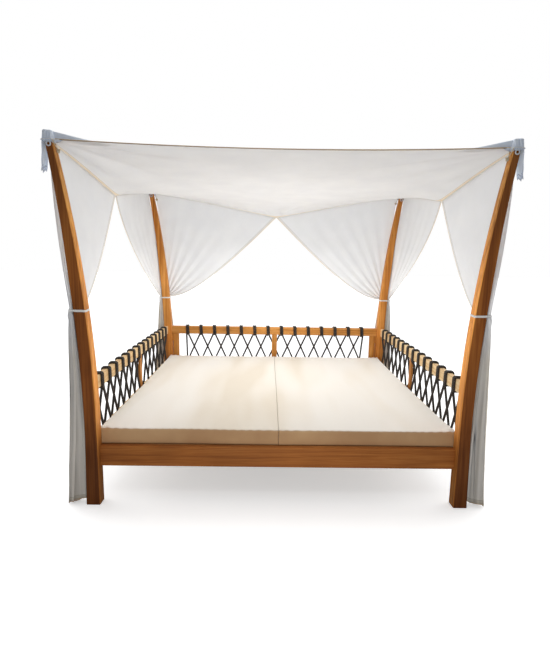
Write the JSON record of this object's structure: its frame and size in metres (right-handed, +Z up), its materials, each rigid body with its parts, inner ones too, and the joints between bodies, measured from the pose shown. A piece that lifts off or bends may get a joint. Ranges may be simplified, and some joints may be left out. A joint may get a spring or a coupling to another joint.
{
  "type": "canopy daybed",
  "caption": "Outdoor wooden daybed with outward curved corner posts, laced rope panels on three sides, two mattresses and a cloth canopy with curtains tied to the posts",
  "frame": {"origin": "on the floor, below the middle of the bounding box", "axes": "+Z up, +X to the right as seen from the open front, the front faces -Y"},
  "size_m": [2.416, 2.1546, 2.0033],
  "materials": {
    "aged_wood": "oiled, weathered",
    "wood": "oiled",
    "cord": "braided, matte",
    "cloth": "matte canvas",
    "ticking": "matte canvas",
    "tape": "woven tape"
  },
  "bodies": {
    "frame": {"post_front_left": "aged_wood", "hood_front_left": "cloth", "tie_front_left": "tape", "post_back_left": "aged_wood", "hood_back_left": "cloth", "tie_back_left": "tape", "post_front_right": "aged_wood", "hood_front_right": "cloth", "tie_front_right": "tape", "post_back_right": "aged_wood", "hood_back_right": "cloth", "tie_back_right": "tape", "bed_rail_front": "aged_wood", "bed_rail_back": "wood", "bed_rail_left": "wood", "bed_rail_right": "wood", "slat_ledger_left": "wood", "slat_ledger_right": "wood", "centre_beam": "wood", "centre_leg": "wood", "slat_01": "wood", "slat_02": "wood", "slat_03": "wood", "slat_04": "wood", "slat_05": "wood", "slat_06": "wood", "slat_07": "wood", "slat_08": "wood", "slat_09": "wood", "slat_10": "wood", "back_panel_top_rail": "wood", "back_panel_bottom_rail": "wood", "back_panel_centre_stile": "wood", "back_panel_left_stile": "wood", "back_panel_right_stile": "wood", "back_panel_lacing": "cord", "left_panel_top_rail": "wood", "left_panel_bottom_rail": "wood", "left_panel_centre_stile": "wood", "left_panel_front_stile": "wood", "left_panel_back_stile": "wood", "left_panel_lacing": "cord", "right_panel_top_rail": "wood", "right_panel_bottom_rail": "wood", "right_panel_centre_stile": "wood", "right_panel_front_stile": "wood", "right_panel_back_stile": "wood", "right_panel_lacing": "cord", "canopy_sheet": "cloth", "curtain_left_front": "cloth", "curtain_left_back": "cloth", "curtain_right_front": "cloth", "curtain_right_back": "cloth", "curtain_back_left": "cloth", "curtain_back_right": "cloth"},
    "left_mattress": {"mattress_left": "ticking"},
    "right_mattress": {"mattress_right": "ticking"}
  },
  "joints": [
    {"name": "left_mattress_lift", "type": "slide", "parent": "frame", "child": "left_mattress", "axis": [0, 0, 1], "range_m": [0, 0.15]},
    {"name": "right_mattress_lift", "type": "slide", "parent": "frame", "child": "right_mattress", "axis": [0, 0, 1], "range_m": [0, 0.15]}
  ]
}
